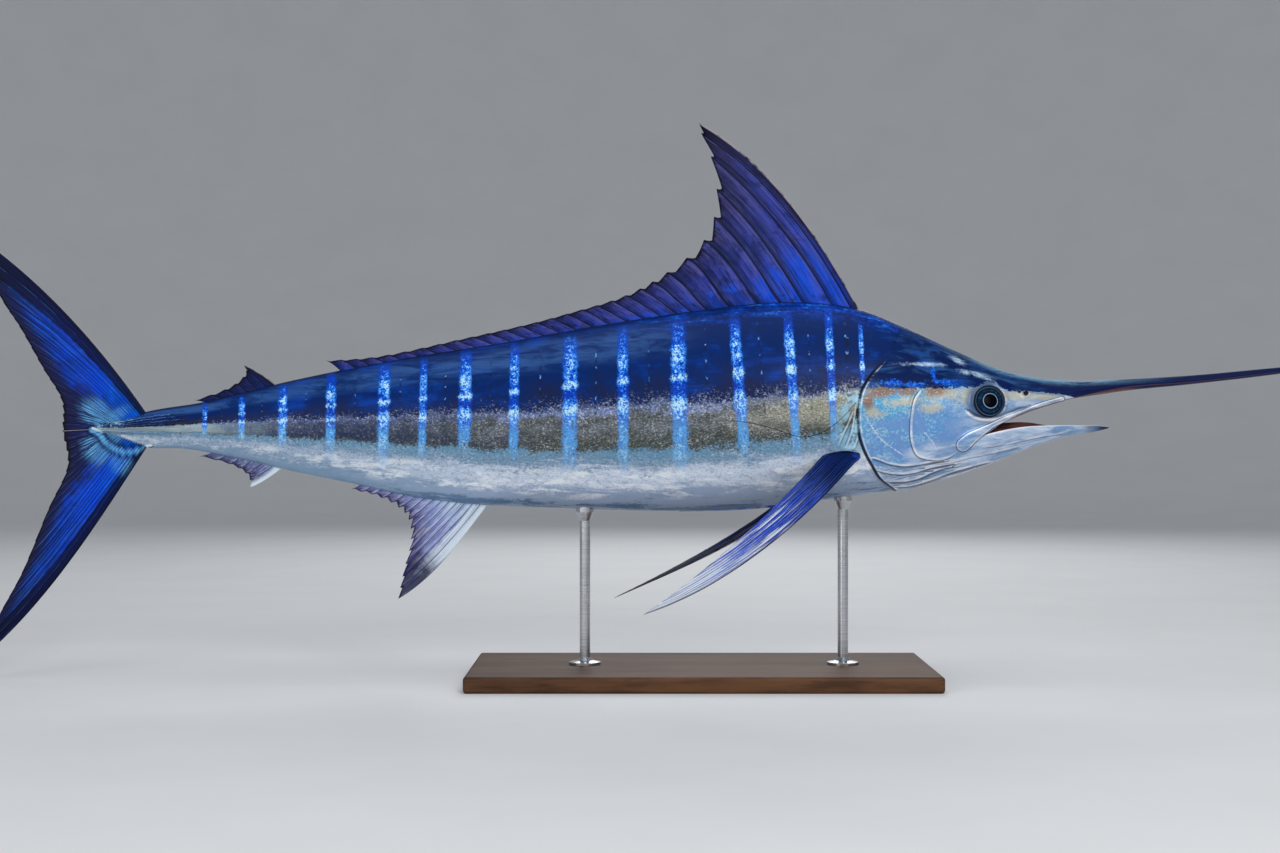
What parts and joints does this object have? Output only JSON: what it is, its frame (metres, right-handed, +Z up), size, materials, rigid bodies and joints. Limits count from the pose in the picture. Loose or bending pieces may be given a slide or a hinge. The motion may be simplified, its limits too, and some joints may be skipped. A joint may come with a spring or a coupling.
{
  "type": "striped marlin model",
  "caption": "Life-size striped marlin swimming level, with raised dorsal fin, long bill and spread fins, held by rods on a flat display base.",
  "frame": {"origin": "on the floor under the middle of the model's box", "axes": "+X along the bill, +Y to the fish's left, +Z up"},
  "size_m": [2.641, 0.42, 1.059],
  "materials": {
    "head_skin": "wet, dark indigo above and silver-blue on the cheek",
    "body_skin": "wet, indigo back with light blue bars, bronze band and silver belly",
    "bill": "dark horn, slightly rough",
    "jaw_skin": "silver white skin",
    "eye": "polished, dark iris with a pale ring round the pupil",
    "dorsal_fin": "purple-indigo membrane with darker rays",
    "caudal_fin": "indigo with bright blue streaks and near-black edges",
    "pale_fin": "pale lavender membrane with a dark ragged edge",
    "pectoral_fin": "blue-purple root fading to silver",
    "stand_wood": "dark walnut, satin varnish",
    "stand_steel": "satin steel"
  },
  "bodies": {
    "root": {"head": "head_skin", "torso": "body_skin", "tail": "body_skin", "bill": "bill", "lower_jaw": "jaw_skin", "eye_right": "eye", "eye_left": "eye", "dorsal_fin_front": "dorsal_fin", "dorsal_fin_rear": "dorsal_fin", "second_dorsal_fin": "dorsal_fin", "anal_fin": "pale_fin", "second_anal_fin": "pale_fin", "caudal_fin_upper": "caudal_fin", "caudal_fin_lower": "caudal_fin", "pectoral_fin_right": "pectoral_fin", "pectoral_fin_left": "pectoral_fin", "pelvic_fin_right": "pectoral_fin", "pelvic_fin_left": "pectoral_fin", "stand_base": "stand_wood", "stand_rod_front": "stand_steel", "stand_rod_rear": "stand_steel"}
  },
  "joints": []
}
